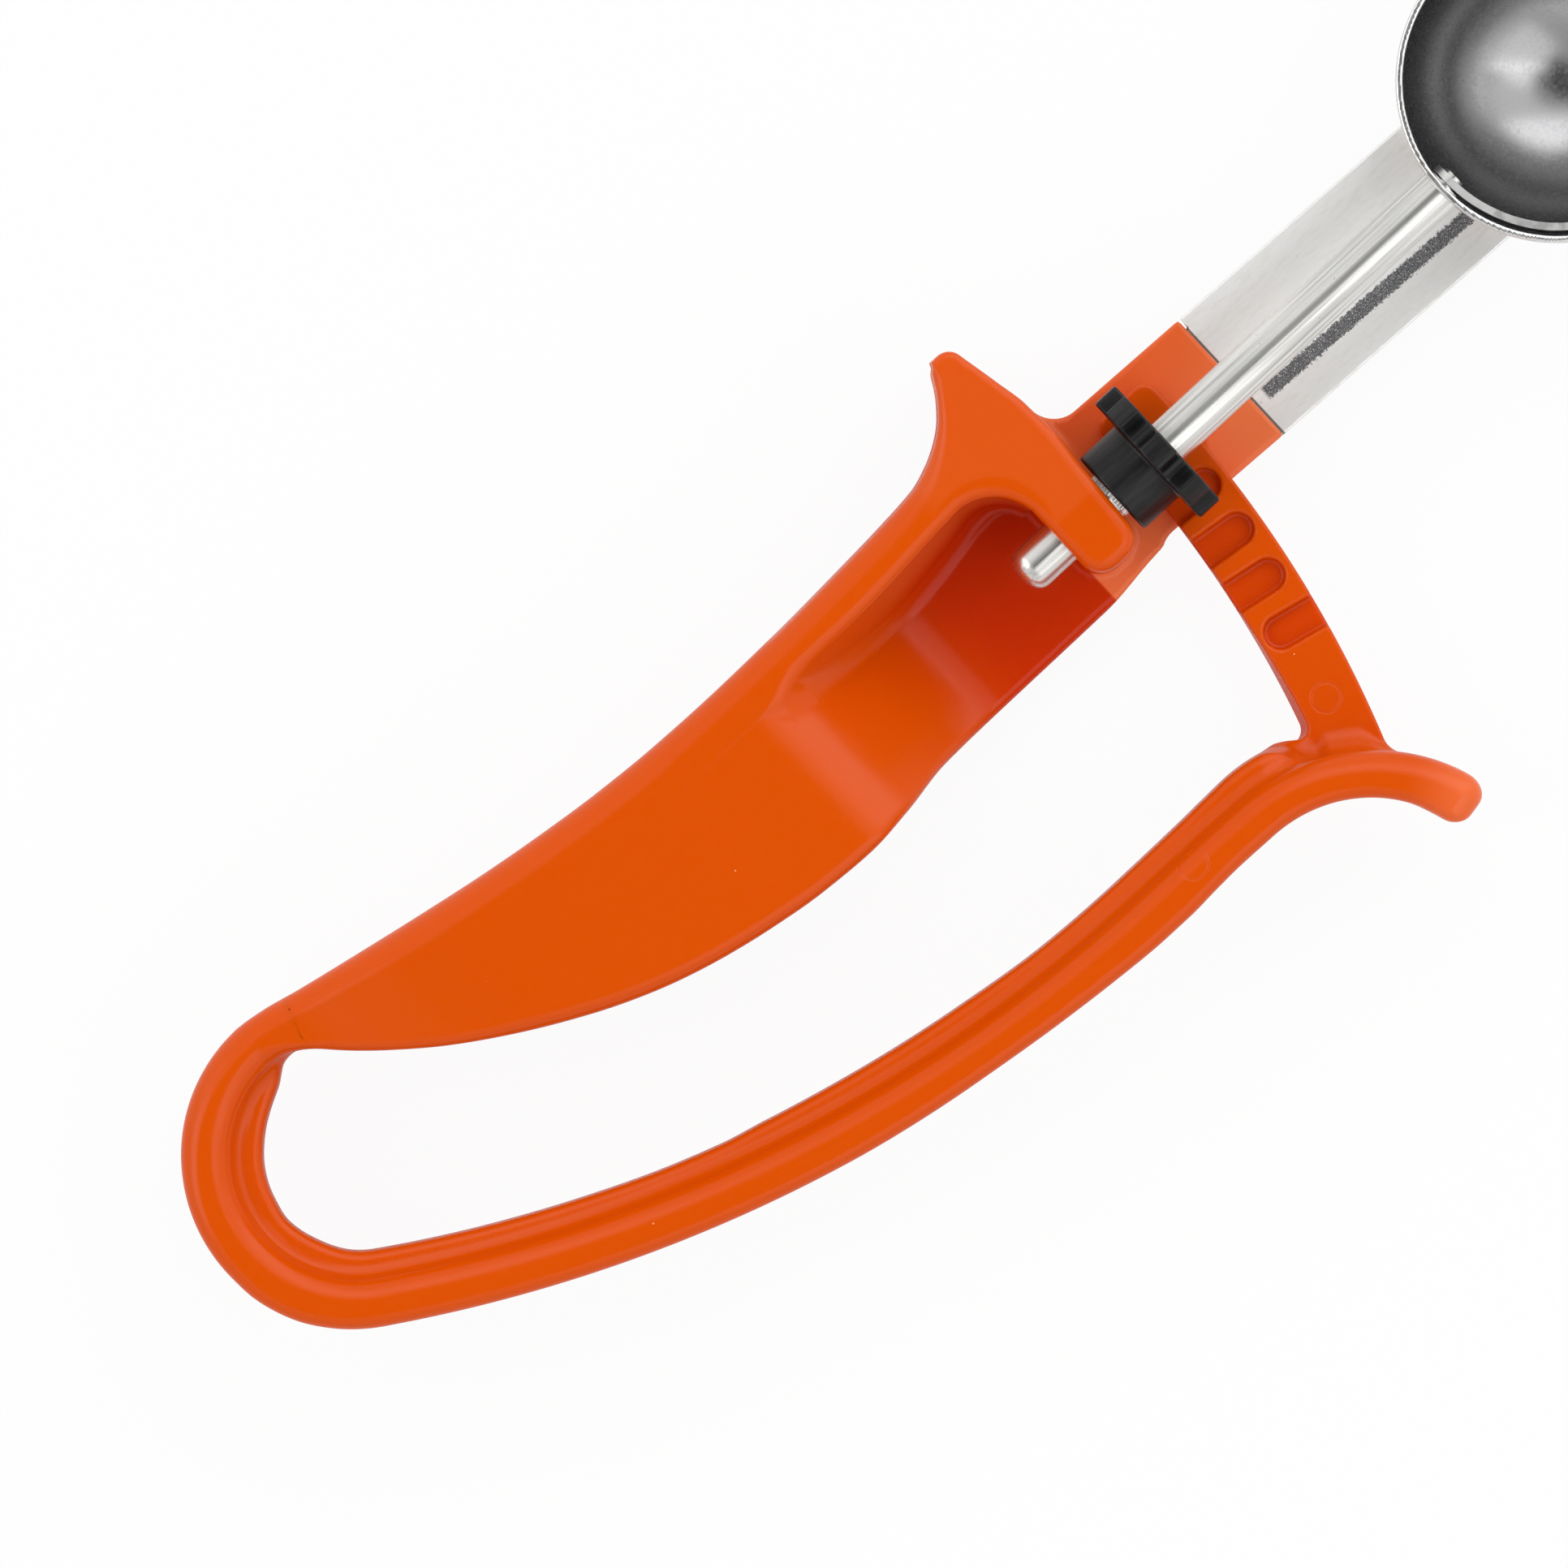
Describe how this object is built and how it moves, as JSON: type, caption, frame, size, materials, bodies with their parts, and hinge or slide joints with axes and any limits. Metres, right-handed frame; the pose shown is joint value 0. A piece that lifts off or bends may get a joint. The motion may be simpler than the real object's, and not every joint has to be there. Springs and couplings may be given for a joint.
{
  "type": "lever ice cream scoop",
  "caption": "Small portion scoop: squeezing the lever slides a rack under a pinion, which sweeps a scraper blade through the bowl.",
  "frame": {"origin": "centre of the bounding box, at the height of the bowl's lowest point", "axes": "+X from the tail loop along the shaft to the bowl, +Y to the palm side with the thumb horn, +Z out of the bowl's mouth towards the viewer"},
  "size_m": [0.221, 0.0792, 0.027],
  "materials": {
    "moulding": "satin, moulded in orange",
    "pinion_plastic": "moulded in black",
    "shaft_steel": "ground and tumbled",
    "tongue_steel": "rolled and lightly brushed",
    "bowl_steel": "spun and polished"
  },
  "bodies": {
    "handle": {"bowl": "bowl_steel", "blade_rivet": "shaft_steel", "tongue": "tongue_steel", "guard": "moulding", "palm_grip": "moulding", "tail_loop": "moulding"},
    "lever": {"squeeze_lever": "moulding", "rack_arm": "moulding"},
    "scraper": {"drive_shaft": "shaft_steel", "pinion": "pinion_plastic", "scraper_blade": "bowl_steel"}
  },
  "joints": [
    {"name": "lever_squeeze", "type": "hinge", "parent": "handle", "child": "lever", "pos_m": [-0.09867, 0.01866, 0.01375], "axis": [0, 0, 1], "range_deg": [0, 10.7], "stiffness_Nm_per_rad": 5},
    {"name": "shaft_turn", "type": "hinge", "parent": "handle", "child": "scraper", "pos_m": [0, 0.01466, 0.01825], "axis": [1, 0, 0], "range_deg": [0, 175]}
  ],
  "couplings": [
    {"joint": "shaft_turn", "follows": "lever_squeeze", "ratio": 16.28}
  ]
}
